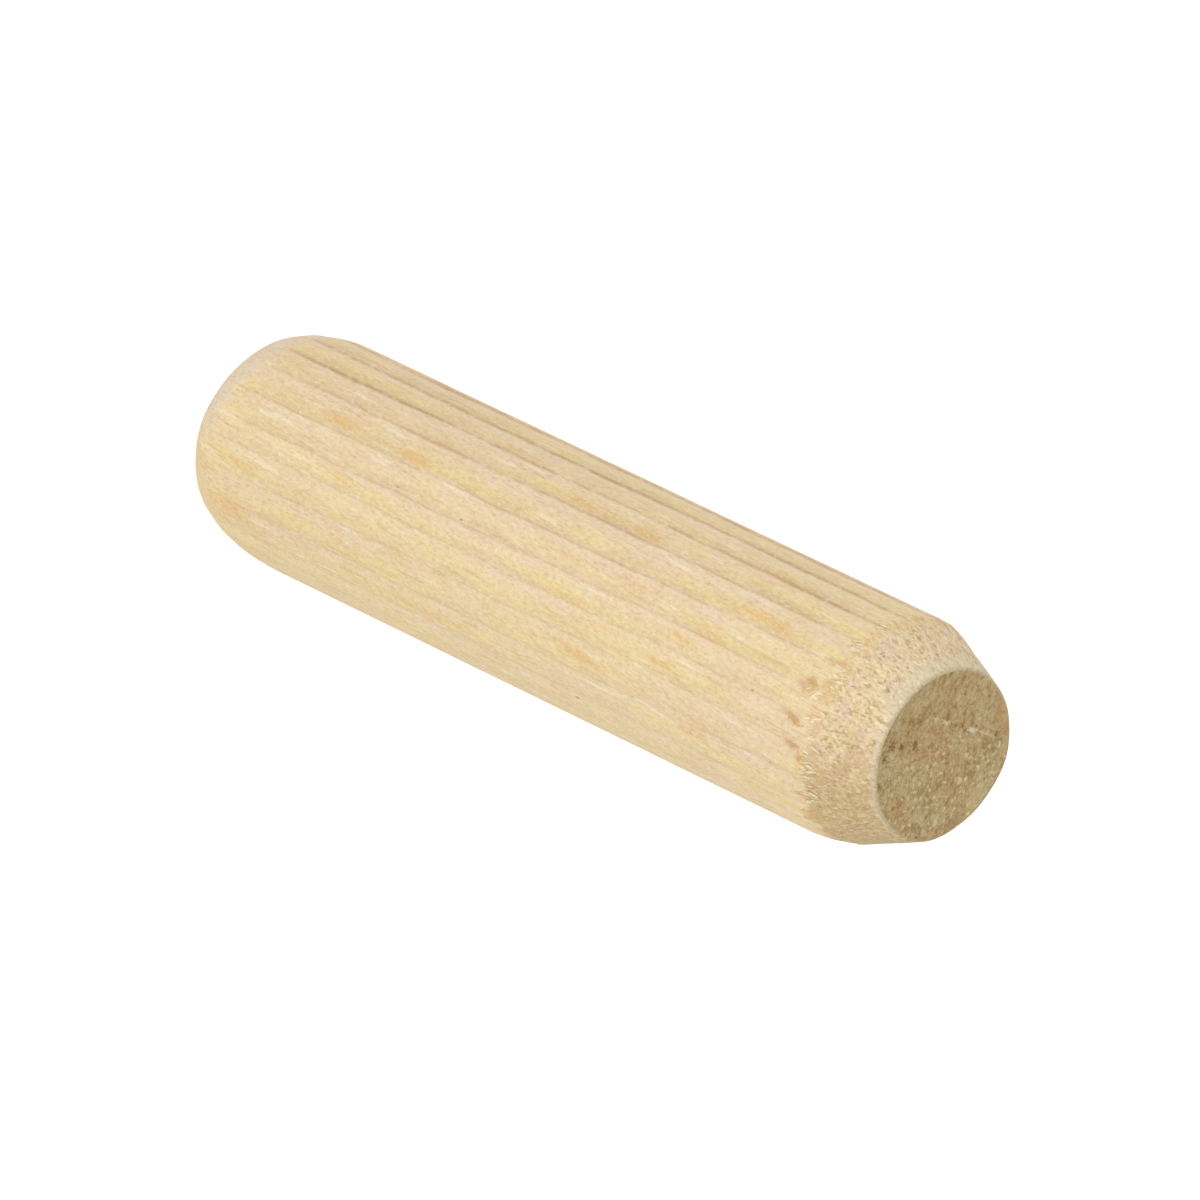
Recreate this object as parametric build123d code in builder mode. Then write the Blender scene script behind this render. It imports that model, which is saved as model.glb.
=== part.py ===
"""Fluted wooden dowel pin: one turned piece, standing on its foot with its axis along +Z.

Millimetres. The origin is the centre of the foot's flat face.
"""
from build123d import *
from math import radians, tan
import os

os.makedirs("parts", exist_ok=True)

# Size of the pin, measured over the ribs that stand between its flutes
pin_length = 40.0
pin_diameter = 9.8

# Flutes: shallow grooves along the shank that carry glue and let air out of the drilled hole
flute_count = 25
flute_width = 0.62
flute_depth = 0.17
flute_root_radius = 0.1
first_flute_angle = -90.0

# Both ends are pointed at the same angle to the axis
chamfer_angle = 21.4

# Head, the upper end: a long chamfer down to a flat face with a nearly crisp edge
head_chamfer_length = 3.25
head_shoulder_radius = 0.6
head_edge_radius = 0.12

# Foot, the lower end: a shorter chamfer, softly rounded at its shoulder and at its edge
foot_chamfer_length = 2.05
foot_shoulder_radius = 4.0
foot_edge_radius = 0.4

# How far a flute's section reaches outside the shank, so that the cut opens the surface cleanly
flute_overcut = 0.1

pin_radius = pin_diameter / 2
flute_half_width = flute_width / 2
head_face_radius = pin_radius - head_chamfer_length * tan(radians(chamfer_angle))
foot_face_radius = pin_radius - foot_chamfer_length * tan(radians(chamfer_angle))

# Section of one flute: a V with a rounded root, whose lips lie on the shank's surface at X = 0
with BuildSketch() as flute:
    overcut_half_width = flute_half_width * (flute_depth + flute_overcut) / flute_depth
    with BuildLine():
        Polyline(
            (-flute_depth, 0),
            (flute_overcut, overcut_half_width),
            (flute_overcut, -overcut_half_width),
            close=True,
        )
    make_face()
    fillet(flute.vertices().sort_by(Axis.X)[0], flute_root_radius)

with BuildPart() as dowel_pin:
    # Half of the outline, from the middle of the foot to the middle of the head
    with BuildSketch(Plane.XZ) as outline:
        with BuildLine():
            FilletPolyline(
                (0, 0),
                (foot_face_radius, 0),
                (pin_radius, foot_chamfer_length),
                (pin_radius, pin_length - head_chamfer_length),
                (head_face_radius, pin_length),
                (0, pin_length),
                radius=[foot_edge_radius, foot_shoulder_radius, head_shoulder_radius, head_edge_radius],
            )
            Line((0, pin_length), (0, 0))
        make_face()
    revolve(axis=Axis.Z)

    # The flutes run out through both chamfers, which scallops the border of each chamfer
    with BuildSketch() as flute_ring:
        with PolarLocations(pin_radius, flute_count, start_angle=first_flute_angle):
            add(flute.sketch)
    extrude(amount=pin_length, mode=Mode.SUBTRACT)

dowel_pin.part.label = "dowel_pin"
export_step(dowel_pin.part, "parts/dowel_pin.step")
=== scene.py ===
# %% [markdown]
# # A fluted wooden dowel pin
#
# The object is one small piece of pale birch: a round pin that is glued into two drilled holes to hold two
# boards together. Shallow flutes run along it to let the air out and carry the glue, and both ends are
# pointed so that it finds its hole. The pin stands on its foot, with its axis along Z.
#
# The exact solid comes first. It fixes the pin's place and size, and everything below only gives it its
# skin.

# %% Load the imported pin
import math

import bpy
import numpy as np
from mathutils import Matrix, Vector, noise


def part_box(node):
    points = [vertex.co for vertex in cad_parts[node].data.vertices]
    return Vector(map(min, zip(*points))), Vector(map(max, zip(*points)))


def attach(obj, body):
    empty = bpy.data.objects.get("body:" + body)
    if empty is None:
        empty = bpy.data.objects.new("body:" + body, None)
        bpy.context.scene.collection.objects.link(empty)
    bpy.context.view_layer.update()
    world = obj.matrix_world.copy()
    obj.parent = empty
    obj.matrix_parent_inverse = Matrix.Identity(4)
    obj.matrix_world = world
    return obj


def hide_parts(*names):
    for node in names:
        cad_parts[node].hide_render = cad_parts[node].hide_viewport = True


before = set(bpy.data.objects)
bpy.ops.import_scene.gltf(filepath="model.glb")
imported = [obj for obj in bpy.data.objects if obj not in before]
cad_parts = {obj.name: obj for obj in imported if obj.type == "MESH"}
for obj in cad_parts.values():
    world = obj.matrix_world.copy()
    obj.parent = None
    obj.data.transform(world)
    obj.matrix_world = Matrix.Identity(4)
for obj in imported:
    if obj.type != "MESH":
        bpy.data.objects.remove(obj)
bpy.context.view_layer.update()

_, pin_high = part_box("dowel_pin")
MM = 0.001
PIN_RADIUS = pin_high.x / MM
PIN_LENGTH = pin_high.z / MM
print(f"pin: {2 * PIN_RADIUS:.2f} mm across, {PIN_LENGTH:.2f} mm long")

# %% [markdown]
# ## The camera
#
# The pin was photographed with a very long lens, so its sides look almost parallel. The camera looks down
# on the head at 42 degrees and is rolled, so that the standing pin lies across the picture from upper left
# to lower right. The roll is a turn of the camera about its own line of sight.

# %% Place the camera
# The distance and the lens are in mm, the angles in degrees
CAMERA_DISTANCE = 740.9
CAMERA_LENS = 555.9
CAMERA_ELEVATION = 42.0
CAMERA_AZIMUTH = 1.5
CAMERA_ROLL = 115.71
# Where the pin's middle lies in the picture, right of and above its centre, in mm at the pin
PIN_IN_VIEW = (0.118, 0.245)


def direction(azimuth, elevation):
    """Unit vector from the pin towards a place; azimuth turns from the front to the right, towards +X."""
    turn = math.radians(azimuth)
    rise = math.radians(elevation)
    return Vector((math.sin(turn) * math.cos(rise), -math.cos(turn) * math.cos(rise), math.sin(rise)))


pin_middle = Vector((0, 0, PIN_LENGTH / 2))
to_camera = direction(CAMERA_AZIMUTH, CAMERA_ELEVATION)
level = (-to_camera).to_track_quat("-Z", "Y").to_matrix()
turned = level @ Matrix.Rotation(math.radians(CAMERA_ROLL), 3, "Z")
camera_data = bpy.data.cameras.new("camera")
camera_data.lens = CAMERA_LENS
camera_data.clip_start = 0.01
camera_data.clip_end = 10
camera = bpy.data.objects.new("camera", camera_data)
bpy.context.scene.collection.objects.link(camera)
sideways = turned @ Vector((PIN_IN_VIEW[0], PIN_IN_VIEW[1], 0))
camera_place = (pin_middle + to_camera * CAMERA_DISTANCE - sideways) * MM
camera.matrix_world = Matrix.Translation(camera_place) @ turned.to_4x4()
bpy.context.scene.camera = camera
print("camera at", [round(v, 4) for v in camera.location])

# %% [markdown]
# ## Natural unevenness
#
# Nothing on a wooden pin is perfectly even. Perlin noise gives smooth random values, and stretching its
# coordinates gives them a grain: small steps across the fibres and long ones along them.

# %% Helpers for noise and soft edges
def noise_at(x, y, z):
    """Smooth noise from about -1 to 1, at each point of three grids."""
    grids = np.broadcast_arrays(x, y, z)
    places = np.stack([grid.ravel() for grid in grids], axis=1)
    values = [noise.noise(Vector(place)) for place in places]
    return np.array(values).reshape(grids[0].shape)


def smooth_step(value, low, high):
    """0 below low, 1 above high, and an easy curve between."""
    share = np.clip((value - low) / (high - low), 0, 1)
    return share * share * (3 - 2 * share)


def soft_minimum(first, second, softness):
    """The smaller of two values, with the corner where they meet rounded over the given softness."""
    share = np.clip(0.5 + 0.5 * (second - first) / softness, 0, 1)
    return second * (1 - share) + first * share - softness * share * (1 - share)


# %% [markdown]
# ## Rings up the pin
#
# A lathe leaves the same outline all round, so the pin's skin is a grid: rings of points, one ring above
# the other. The rings lie close together where the shape turns quickly, at the rounded edges and over the
# rough head chamfer, and far apart along the plain shank.

# %% Choose the heights of the rings
# Length of the head's chamfer and radius of each end's rounded edge
HEAD_CHAMFER = 3.25
HEAD_EDGE = 0.12
FOOT_EDGE = 0.4
# Steps from ring to ring
FOOT_STEP = 0.16
SHANK_STEP = 0.38
HEAD_STEP = 0.075
shoulder = PIN_LENGTH - HEAD_CHAMFER


def edge_heights(radius, steps):
    """Heights of the rings that round an end's edge, counted from its flat face."""
    return radius * (1 - np.cos(np.linspace(0, math.pi / 2, steps)))


foot_edge_rings = edge_heights(FOOT_EDGE, 7)
head_edge_rings = PIN_LENGTH - edge_heights(HEAD_EDGE, 6)[::-1]
ring_heights = np.concatenate([
    foot_edge_rings,
    np.arange(FOOT_EDGE + FOOT_STEP, 3.4, FOOT_STEP),
    np.arange(3.6, shoulder - 0.9, SHANK_STEP),
    np.arange(shoulder - 0.8, PIN_LENGTH - HEAD_EDGE - 0.03, HEAD_STEP),
    head_edge_rings,
])
print(f"{len(ring_heights)} rings")

# %% [markdown]
# ## Where the flutes run
#
# Steel rollers press 25 flutes into the shank. The wood's own fibres pull the rollers off their line, so
# every flute wanders a little. The grid follows them: 16 columns of points run along each flute, crowded
# where its steep side is. If the columns ran straight up instead, they would cut that steep side into
# little stairs.

# %% Lay 16 columns of points along each flute
FLUTES = 25
# Columns of one flute, in degrees from its upper lip; the steep side is the first 1.5 degrees
COLUMNS = [0.0, 0.4, 0.8, 1.2, 1.7, 2.5, 3.5, 4.6, 5.7, 6.8, 7.9, 9.0, 10.1, 11.2, 12.3, 13.4]
AROUND = FLUTES * len(COLUMNS)
FLUTE_PITCH = 2 * math.pi / FLUTES
LIP = math.radians(-93.2)
# How far the seen flutes lie off an even spacing, in degrees, counted from the front one; the hidden ones
# are shifted at random, by a degree at most
SHIFTS = {-5: -4.4, -4: 0.1, -3: 0.7, -2: 0.5, -1: 2.4, 0: 2.8, 1: 0.4, 2: 0.0, 3: 1.6, 4: 1.6, 5: 3.0}
# How far the flutes on the left lean from foot to head, in degrees
LEAN = -2.6
seeds = np.random.default_rng(12)
lips = np.zeros((FLUTES, len(ring_heights)))
for flute in range(FLUTES):
    slow = noise_at(flute * 7.3, 0.5, ring_heights * 0.07)
    quick = noise_at(flute * 3.1, 9.5, ring_heights * 0.45)
    ragged = noise_at(flute * 5.9, 4.5, ring_heights * 1.6)
    from_front = flute if flute <= FLUTES // 2 else flute - FLUTES
    shift = SHIFTS.get(from_front, seeds.uniform(-1, 1))
    lean = LEAN * (ring_heights / PIN_LENGTH - 0.5) * (from_front < 1)
    restless = 1.0 + 0.6 * (from_front > 0)
    wander = restless * (0.7 * slow + 0.55 * quick + 0.35 * ragged)
    lips[flute] = LIP + flute * FLUTE_PITCH + np.radians(shift + lean + wander)
next_lips = np.roll(lips, -1, axis=0)
next_lips[-1] += 2 * math.pi
share = np.array(COLUMNS) / math.degrees(FLUTE_PITCH)
by_flute = lips[:, :, None] + (next_lips - lips)[:, :, None] * share
angles = by_flute.transpose(1, 0, 2).reshape(len(ring_heights), AROUND)
heights = np.repeat(ring_heights[:, None], AROUND, axis=1)
across = np.tile(share, FLUTES)[None, :] * np.ones_like(heights)
around_x = PIN_RADIUS * np.cos(angles)
around_y = PIN_RADIUS * np.sin(angles)
print(f"{AROUND} columns, flutes wander by {np.degrees(np.ptp(lips - lips[:, :1])):.1f} degrees")

# %% [markdown]
# ## The flutes' section
#
# A real flute isn't an even V. Below its upper lip it drops steeply, and then it rises slowly to the next
# rib. This pin was pressed hardest on its front left and again at the back, so its flutes are deep there
# and fade on its right.

# %% Press the flutes
FLUTE_DEPTH = 0.14
# How far the lip itself is turned in
LIP_DROP = 0.03
# Where the steep side and the gentle side end, as shares of the way to the next flute
STEEP_END = 1.5 / 14.4
GENTLE_END = 8.5 / 14.4
HARD_SIDE = math.radians(-145)
lip_angles = LIP + np.arange(FLUTES) * FLUTE_PITCH
hard_side = np.clip(np.cos(lip_angles - HARD_SIDE), 0, 1)
far_side = np.clip(np.sin(lip_angles), 0, 1) ** 0.5
pressed = 0.3 + 0.62 * hard_side ** 2 + 0.45 * far_side + seeds.uniform(-0.08, 0.08, FLUTES)
pressed = np.repeat(pressed, len(COLUMNS))[None, :]
steep = smooth_step(across, 0, STEEP_END)
gentle = np.clip((GENTLE_END - across) / (GENTLE_END - STEEP_END), 0, 1)
uneven = 0.85 + 0.4 * noise_at(around_x * 1.1, around_y * 1.1, heights * 0.3)
turned_in = smooth_step(across, 0.68, 1.0) + 1 - steep
flute_depths = pressed * uneven * (FLUTE_DEPTH * steep * gentle + LIP_DROP * turned_in)
print(f"deepest flute {flute_depths.max():.3f} mm")

# %% [markdown]
# ## Shank and chamfers
#
# The shank's radius is the pin's, less the flutes and a faint relief of fibres. Each chamfer is a cone, and
# both cones were cut slightly off centre, towards the front. Where two surfaces meet, the smaller radius
# wins, and a soft minimum wears the corner between them. On its right side the head's shoulder is worn
# quite round.
#
# The wood's fibres lean by a few degrees. On one side of the head the cutter met them from below and tore
# them, which left pits and a ragged shoulder.

# %% Work out the radius at every point of the grid
CHAMFER_SLOPE = math.tan(math.radians(21.4))
FIBRE_RELIEF = 0.012
HEAD_OFFSET = 0.17
HEAD_OFFSET_SIDE = math.radians(-118)
FOOT_OFFSET = 0.34
FOOT_OFFSET_SIDE = math.radians(-94)
# Where each chamfer isn't quite round: middle of the place in degrees, how far it stands out in mm, and
# its reach in degrees
HEAD_BULGES = [
    (108, 0.08, 15),
    (80, -0.045, 18),
    (52, -0.085, 18),
    (-178, -0.02, 20),
    (162, -0.04, 12),
]
FOOT_BULGES = [
    (-128, -0.1, 24),
    (-103, -0.045, 18),
    (-78, 0.04, 12),
    (5, -0.03, 20),
]
# The foot's chamfer is a soft curve: its radius at some heights
FOOT_HEIGHTS = [0, 0.19, 1.17, 2.35, 3.6]
FOOT_RADII = [4.07, 4.18, 4.57, 4.9, 5.2]
WORN_SIDE = math.radians(2)
TORN_SIDE = math.radians(-160)
PIT_DEPTH = 0.09
DIP_DEPTH = 0.03
# How softly two surfaces meet: at the crisp side of the head's shoulder, as much more at its worn side,
# and at the foot's shoulder
CRISP_CORNER = 0.03
WORN_CORNER = 0.45
FOOT_CORNER = 0.25


def bulges(places):
    """How far out a chamfer stands at each point of the grid, from a list of places."""
    total = np.zeros_like(angles)
    for middle, out, reach in places:
        apart = np.degrees(np.angle(np.exp(1j * (angles - math.radians(middle)))))
        total += out * np.exp(-(apart / reach) ** 2)
    return total


relief = 0.5 + 0.45 * noise_at(around_x * 3.2, around_y * 3.2, heights * 0.25)
shank_radius = PIN_RADIUS - flute_depths - FIBRE_RELIEF * relief

head_cone = PIN_RADIUS - (heights - shoulder) * CHAMFER_SLOPE
head_cone = head_cone + HEAD_OFFSET * np.cos(angles - HEAD_OFFSET_SIDE) + bulges(HEAD_BULGES)
torn_noise = noise_at(around_x * 0.9, around_y * 0.9, heights * 0.5)
torn = smooth_step(np.cos(angles - TORN_SIDE) + 0.3 * torn_noise, -0.55, 0.3)
pits = np.clip(noise_at(around_x * 4.2, around_y * 4.2, heights * 2.2) * 1.5 - 0.2, 0, 1)
dips = noise_at(around_x * 1.9, around_y * 1.9, heights * 0.8)
below_face = PIN_LENGTH - heights
head_cone = head_cone - PIT_DEPTH * (0.3 + 0.7 * torn) * pits * smooth_step(below_face, 0.15, 0.8)
head_cone = head_cone - DIP_DEPTH * dips * smooth_step(below_face, 0.1, 1.0)

foot_cone = np.interp(heights, FOOT_HEIGHTS, FOOT_RADII)
foot_cone = foot_cone + FOOT_OFFSET * np.cos(angles - FOOT_OFFSET_SIDE)
foot_cone = foot_cone + bulges(FOOT_BULGES)

worn = np.clip(np.cos(angles - WORN_SIDE), 0, 1) ** 2
radii = soft_minimum(shank_radius, head_cone, CRISP_CORNER + WORN_CORNER * worn)
radii = soft_minimum(radii, foot_cone, FOOT_CORNER)


def edge_drop(distance, radius):
    """How far a quarter round edge falls inside the square corner, at a distance from the end's face."""
    inside = np.clip(1 - distance / radius, 0, 1)
    return radius * (1 - np.sqrt(1 - inside * inside))


radii = radii - edge_drop(heights, FOOT_EDGE) - edge_drop(PIN_LENGTH - heights, HEAD_EDGE)
print(f"radius from {radii.min():.2f} to {radii.max():.2f} mm")

# %% [markdown]
# ## Closing the ends
#
# A fan of triangles to one middle point would pinch. Instead a square grid is bent into a disc: each square
# ring of the grid becomes a round one, and its outermost ring has exactly as many points as the wall, so
# the two share them. All faces stay quads. A saw left the faces slightly furrowed.

# %% Bend a square grid into a disc
DISC_RINGS = AROUND // 8


def disc_cell(column, row):
    """(ring, step round it, steps in it) of a corner of the square grid, counted from its middle."""
    ring = max(abs(column), abs(row))
    if ring == 0:
        return 0, 0, 1
    if column == ring and row > -ring:
        step = row
    elif row == ring:
        step = 2 * ring - column
    elif column == -ring:
        step = 4 * ring - row
    else:
        step = 6 * ring + column
    return ring, step % (8 * ring), 8 * ring


def disc_place(rim, ring, step, steps):
    """(x, y) of a disc point; the rings shrink the rim's own outline evenly."""
    along = step * AROUND / steps
    first = int(along)
    rest = along - first
    x = rim[first % AROUND][0] * (1 - rest) + rim[(first + 1) % AROUND][0] * rest
    y = rim[first % AROUND][1] * (1 - rest) + rim[(first + 1) % AROUND][1] * rest
    return x * ring / DISC_RINGS, y * ring / DISC_RINGS


def saw_marks(x, y, seed):
    """How deep the face lies at a place, from 0 to 1: furrows in one direction, with fuzz on them."""
    furrows = noise.noise(Vector((x * 0.5 + y * 0.3, (y * 0.8 - x * 0.6) * 2.6, seed)))
    fuzz = noise.noise(Vector((x * 5.0, y * 5.0, seed)))
    return 0.5 + 0.3 * furrows + 0.35 * fuzz


# %% Join wall and ends into one mesh
wall = np.stack([radii * np.cos(angles), radii * np.sin(angles), heights], axis=-1).reshape(-1, 3)
points = [tuple(point) for point in wall]
faces = []
face_kinds = []
# Places of the two materials in the mesh's list
WALL = 0
END_GRAIN = 1
for ring in range(len(ring_heights) - 1):
    for step in range(AROUND):
        beside = (step + 1) % AROUND
        low = ring * AROUND
        high = low + AROUND
        faces.append((low + step, low + beside, high + beside, high + step))
        face_kinds.append(WALL)


def close_end(rim_ring, height, furrow_depth, seed, upwards):
    """Fills one end with a disc that shares the rim ring's points; a furrow depth below 0 goes down."""
    rim_start = rim_ring * AROUND
    rim = points[rim_start: rim_start + AROUND]
    index = {}

    def corner(column, row):
        ring, step, steps = disc_cell(column, row)
        if ring == DISC_RINGS:
            return rim_start + step
        if (ring, step) not in index:
            x, y = disc_place(rim, ring, step, steps)
            inward = min(1.0, (DISC_RINGS - ring) / 3)
            index[ring, step] = len(points)
            points.append((x, y, height + furrow_depth * inward * saw_marks(x, y, seed)))
        return index[ring, step]

    for column in range(-DISC_RINGS, DISC_RINGS):
        for row in range(-DISC_RINGS, DISC_RINGS):
            quad = [
                corner(column, row),
                corner(column + 1, row),
                corner(column + 1, row + 1),
                corner(column, row + 1),
            ]
            faces.append(tuple(quad if upwards else quad[::-1]))
            face_kinds.append(END_GRAIN)


close_end(0, height=0.0, furrow_depth=0.03, seed=3.0, upwards=False)
close_end(len(ring_heights) - 1, height=PIN_LENGTH, furrow_depth=-0.05, seed=8.0, upwards=True)
pin_mesh = bpy.data.meshes.new("birch_pin")
pin_mesh.from_pydata([Vector(point) * MM for point in points], [], faces)
pin_mesh.polygons.foreach_set("material_index", face_kinds)
pin_mesh.polygons.foreach_set("use_smooth", [True] * len(faces))
birch_pin = bpy.data.objects.new("birch_pin", pin_mesh)
bpy.context.scene.collection.objects.link(birch_pin)
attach(birch_pin, "root")
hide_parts("dowel_pin")
print(f"birch_pin: {len(points)} points, {len(faces)} quads")

# %% [markdown]
# ## Marks that belong to places
#
# Some marks have a place on the pin: the dark line at a flute's lip, partly crushed fibre and partly
# painted shade, the painted soft shade on the rib above it and the painted highlight on the band below it,
# the amber streaks, the dents where a flute runs out, the torn and the worn side of the head's chamfer,
# and the pale rim beside its face, partly a painted highlight along its edge. The mesh stores how strong
# each mark is at each point, as an attribute, and the materials read it.

# %% Write the marks into the mesh
# Each mark: degrees round from the front; height, half length and half width in mm; strength
AMBER_STREAKS = [
    (-21, 7.2, 1.1, 0.22, 0.75),
    (-20, 11.9, 1.0, 0.26, 1.0),
    (-20, 9.9, 1.2, 0.13, 0.6),
    (44, 2.9, 1.4, 0.42, 0.75),
    (40, 5.3, 1.0, 0.25, 0.5),
    (19, 3.4, 1.2, 0.25, 0.5),
    (-37, 20.4, 1.4, 0.22, 0.85),
    (-37, 22.4, 1.2, 0.18, 0.7),
    (-36.5, 24.3, 0.9, 0.24, 1.0),
    (3, 29.1, 1.0, 0.18, 0.9),
    (18, 28.7, 0.9, 0.20, 0.75),
    (33, 24.1, 1.1, 0.24, 0.9),
    (31, 22.9, 0.9, 0.20, 0.6),
    (-10, 25.7, 1.3, 0.22, 0.6),
    (-9.5, 21.9, 1.3, 0.22, 0.45),
    (-22.5, 32.6, 1.9, 0.24, 0.9),
    (-48, 31.5, 1.8, 0.2, 0.7),
    (44, 30.8, 0.9, 0.22, 0.6),
    (9, 22.5, 1.5, 0.2, 0.5),
    (49, 14.5, 2.2, 0.3, 0.5),
    (-52, 12.0, 1.6, 0.2, 0.4),
]
BROWN_DENTS = [
    (-3, 36.3, 0.5, 0.3, 0.9),
    (12.5, 35.85, 0.55, 0.15, 1.0),
    (15, 36.4, 0.4, 0.13, 0.8),
    (26, 36.4, 0.5, 0.22, 0.8),
    (30, 36.9, 0.35, 0.3, 0.6),
    (-18, 36.5, 0.4, 0.2, 0.5),
    (50, 36.8, 0.35, 0.12, 0.8),
    (53, 37.0, 0.35, 0.1, 0.7),
    (64, 36.9, 0.7, 0.5, 0.7),
    (75, 37.2, 0.6, 0.5, 0.6),
]
FRONT = math.radians(-90 + CAMERA_AZIMUTH)


def spread(marks):
    """Strength of a list of oval marks at every point of the wall."""
    total = np.zeros_like(angles)
    for turn, height, half_length, half_width, strength in marks:
        centre = FRONT + math.radians(turn)
        sideways = np.angle(np.exp(1j * (angles - centre))) * PIN_RADIUS / half_width
        upwards = (heights - height) / half_length
        total = np.maximum(total, strength * np.exp(-(sideways ** 2 + upwards ** 2)))
    return total


def write_mark(name, on_wall):
    """Stores one value a point: the grid's on the wall, and 0 inside both ends."""
    values = np.zeros(len(points), dtype=np.float32)
    values[: on_wall.size] = on_wall.ravel()
    pin_mesh.attributes.new(name, "FLOAT", "POINT").data.foreach_set("value", values)
    print(f"mark {name}: mean {on_wall.mean():.3f}")


# The flutes show less near both ends, and on the side where they were pressed lightly
fade = smooth_step(heights, 0.8, 3.0) * (1 - 0.55 * smooth_step(heights, 33.5, 36.7))
hardness = np.repeat(0.28 + 0.72 * hard_side ** 3 + 0.5 * far_side, len(COLUMNS))[None, :]
strength = hardness * fade * uneven
# The dark line at each lip: partly crushed fibre, partly painted shade in the groove
write_mark("lip_line_crush_and_shade", strength * np.exp(-((across - 0.048) / 0.042) ** 2))
# Painted soft shade on the lower part of each rib, where it turns away from the light
write_mark("lip_shade", strength * (smooth_step(across, 0.5, 0.98) + 1 - smooth_step(across, 0.02, 0.09)))
# Painted highlight on the band just below each lip, where the rib turns towards the light
write_mark("painted_highlight_band", strength * np.exp(-((across - 0.22) / 0.12) ** 2))
write_mark("rib_side", across)
write_mark("pressed", np.clip(hardness * fade, 0, 1))
write_mark("head_cut", np.clip(0.5 + (shank_radius - head_cone) / 0.5, 0, 1))
write_mark("foot_cut", np.clip(0.5 + (shank_radius - foot_cone) / 0.5, 0, 1))
write_mark("torn", torn)
write_mark("worn", worn)
write_mark("amber", spread(AMBER_STREAKS))
write_mark("dent", spread(BROWN_DENTS))
# The pale rim beside the head's face: a narrow painted highlight along its edge on the front right, and a
# broader pale grey-green band on the left
rim_side = smooth_step(np.cos(angles - math.radians(-70)), -0.2, 0.8)
rim_highlight = smooth_step(heights, PIN_LENGTH - 0.45, PIN_LENGTH - 0.1) * rim_side
upper_side = smooth_step(np.cos(angles - math.radians(-150)), 0.2, 0.9)
broad_rim = smooth_step(heights, PIN_LENGTH - 1.1, PIN_LENGTH - 0.4) * upper_side
write_mark("rim", np.maximum(rim_highlight, broad_rim))
write_mark("edge", smooth_step(heights, PIN_LENGTH - 0.12, PIN_LENGTH - 0.02))
# A pale strip along the foot's rounded chamfer, on the pin's left
strip_side = smooth_step(np.cos(angles - math.radians(-165)), -0.2, 0.45)
write_mark("strip", smooth_step(foot_cone - shank_radius, 0.2, -0.2) * strip_side)

# %% [markdown]
# ## Building node trees in code
#
# Every material is a small graph of nodes. These helpers add one node each and return its output socket, so
# that a graph reads like a sentence.

# %% Helpers for node trees
def place(tree, kind, **settings):
    """Adds a node to the tree, in rows of eight, and sets its properties."""
    made = tree.nodes.new(kind)
    count = len(tree.nodes) - 1
    made.location = (200 * (count % 8), -280 * (count // 8))
    for name, value in settings.items():
        setattr(made, name, value)
    return made


def feed(tree, socket, source):
    """Links a socket to another one's output, or sets its plain value."""
    if isinstance(source, bpy.types.NodeSocket):
        tree.links.new(source, socket)
    else:
        socket.default_value = source


def maths(tree, operation, first, second=0.0, clamp=False):
    """One step of arithmetic."""
    made = place(tree, "ShaderNodeMath", operation=operation, use_clamp=clamp)
    feed(tree, made.inputs[0], first)
    feed(tree, made.inputs[1], second)
    return made.outputs[0]


def ramp(tree, value, low, high):
    """0 below low and 1 above high, eased between; it falls instead where high is the smaller one."""
    made = place(tree, "ShaderNodeMapRange", interpolation_type="SMOOTHSTEP")
    for socket, source in (("Value", value), ("From Min", low), ("From Max", high)):
        feed(tree, made.inputs[socket], source)
    return made.outputs["Result"]


def blend_colour(tree, share, first, second):
    """The first colour at a share of 0, the second one at 1."""
    made = place(tree, "ShaderNodeMix", data_type="RGBA")
    feed(tree, made.inputs["Factor"], share)
    feed(tree, made.inputs["A"], first)
    feed(tree, made.inputs["B"], second)
    return made.outputs["Result"]


def grained_noise(tree, position, across, along, detail=2.0, roughness=0.5):
    """Noise with so many bumps a millimetre across the fibres and along them."""
    stretched = place(tree, "ShaderNodeVectorMath", operation="MULTIPLY")
    feed(tree, stretched.inputs[0], position)
    steps = place(tree, "ShaderNodeCombineXYZ")
    for axis, step in zip("XYZ", (across, across, along)):
        feed(tree, steps.inputs[axis], step)
    feed(tree, stretched.inputs[1], steps.outputs[0])
    made = place(tree, "ShaderNodeTexNoise")
    feed(tree, made.inputs["Vector"], stretched.outputs[0])
    made.inputs["Scale"].default_value = 1.0
    made.inputs["Detail"].default_value = detail
    made.inputs["Roughness"].default_value = roughness
    return made.outputs["Fac"]


def mark(tree, name):
    """The strength of one of the mesh's stored marks."""
    return place(tree, "ShaderNodeAttribute", attribute_name=name).outputs["Fac"]


def srgb(red, green, blue):
    """A colour given as it looks on screen, 0 to 255, as the linear values that a shader needs."""
    shown = [red / 255, green / 255, blue / 255]
    linear = [c / 12.92 if c <= 0.04045 else ((c + 0.055) / 1.055) ** 2.4 for c in shown]
    return (*linear, 1.0)


def new_group(name, inputs, outputs):
    """An empty shader node group with named sockets; returns the group, its inputs and its output node."""
    group = bpy.data.node_groups.new(name, "ShaderNodeTree")
    for socket, (kind, value) in inputs.items():
        made = group.interface.new_socket(socket, in_out="INPUT", socket_type=kind)
        if value is not None:
            made.default_value = value
    for socket, kind in outputs.items():
        group.interface.new_socket(socket, in_out="OUTPUT", socket_type=kind)
    entry = group.nodes.new("NodeGroupInput")
    leave = group.nodes.new("NodeGroupOutput")
    return group, entry.outputs, leave.inputs


def use_group(tree, group, **sources):
    """Places a group in a tree and feeds its inputs; an underscore in a name stands for a space."""
    made = place(tree, "ShaderNodeGroup", node_tree=group)
    for name, source in sources.items():
        feed(tree, made.inputs[name.replace("_", " ")], source)
    return made.outputs


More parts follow.
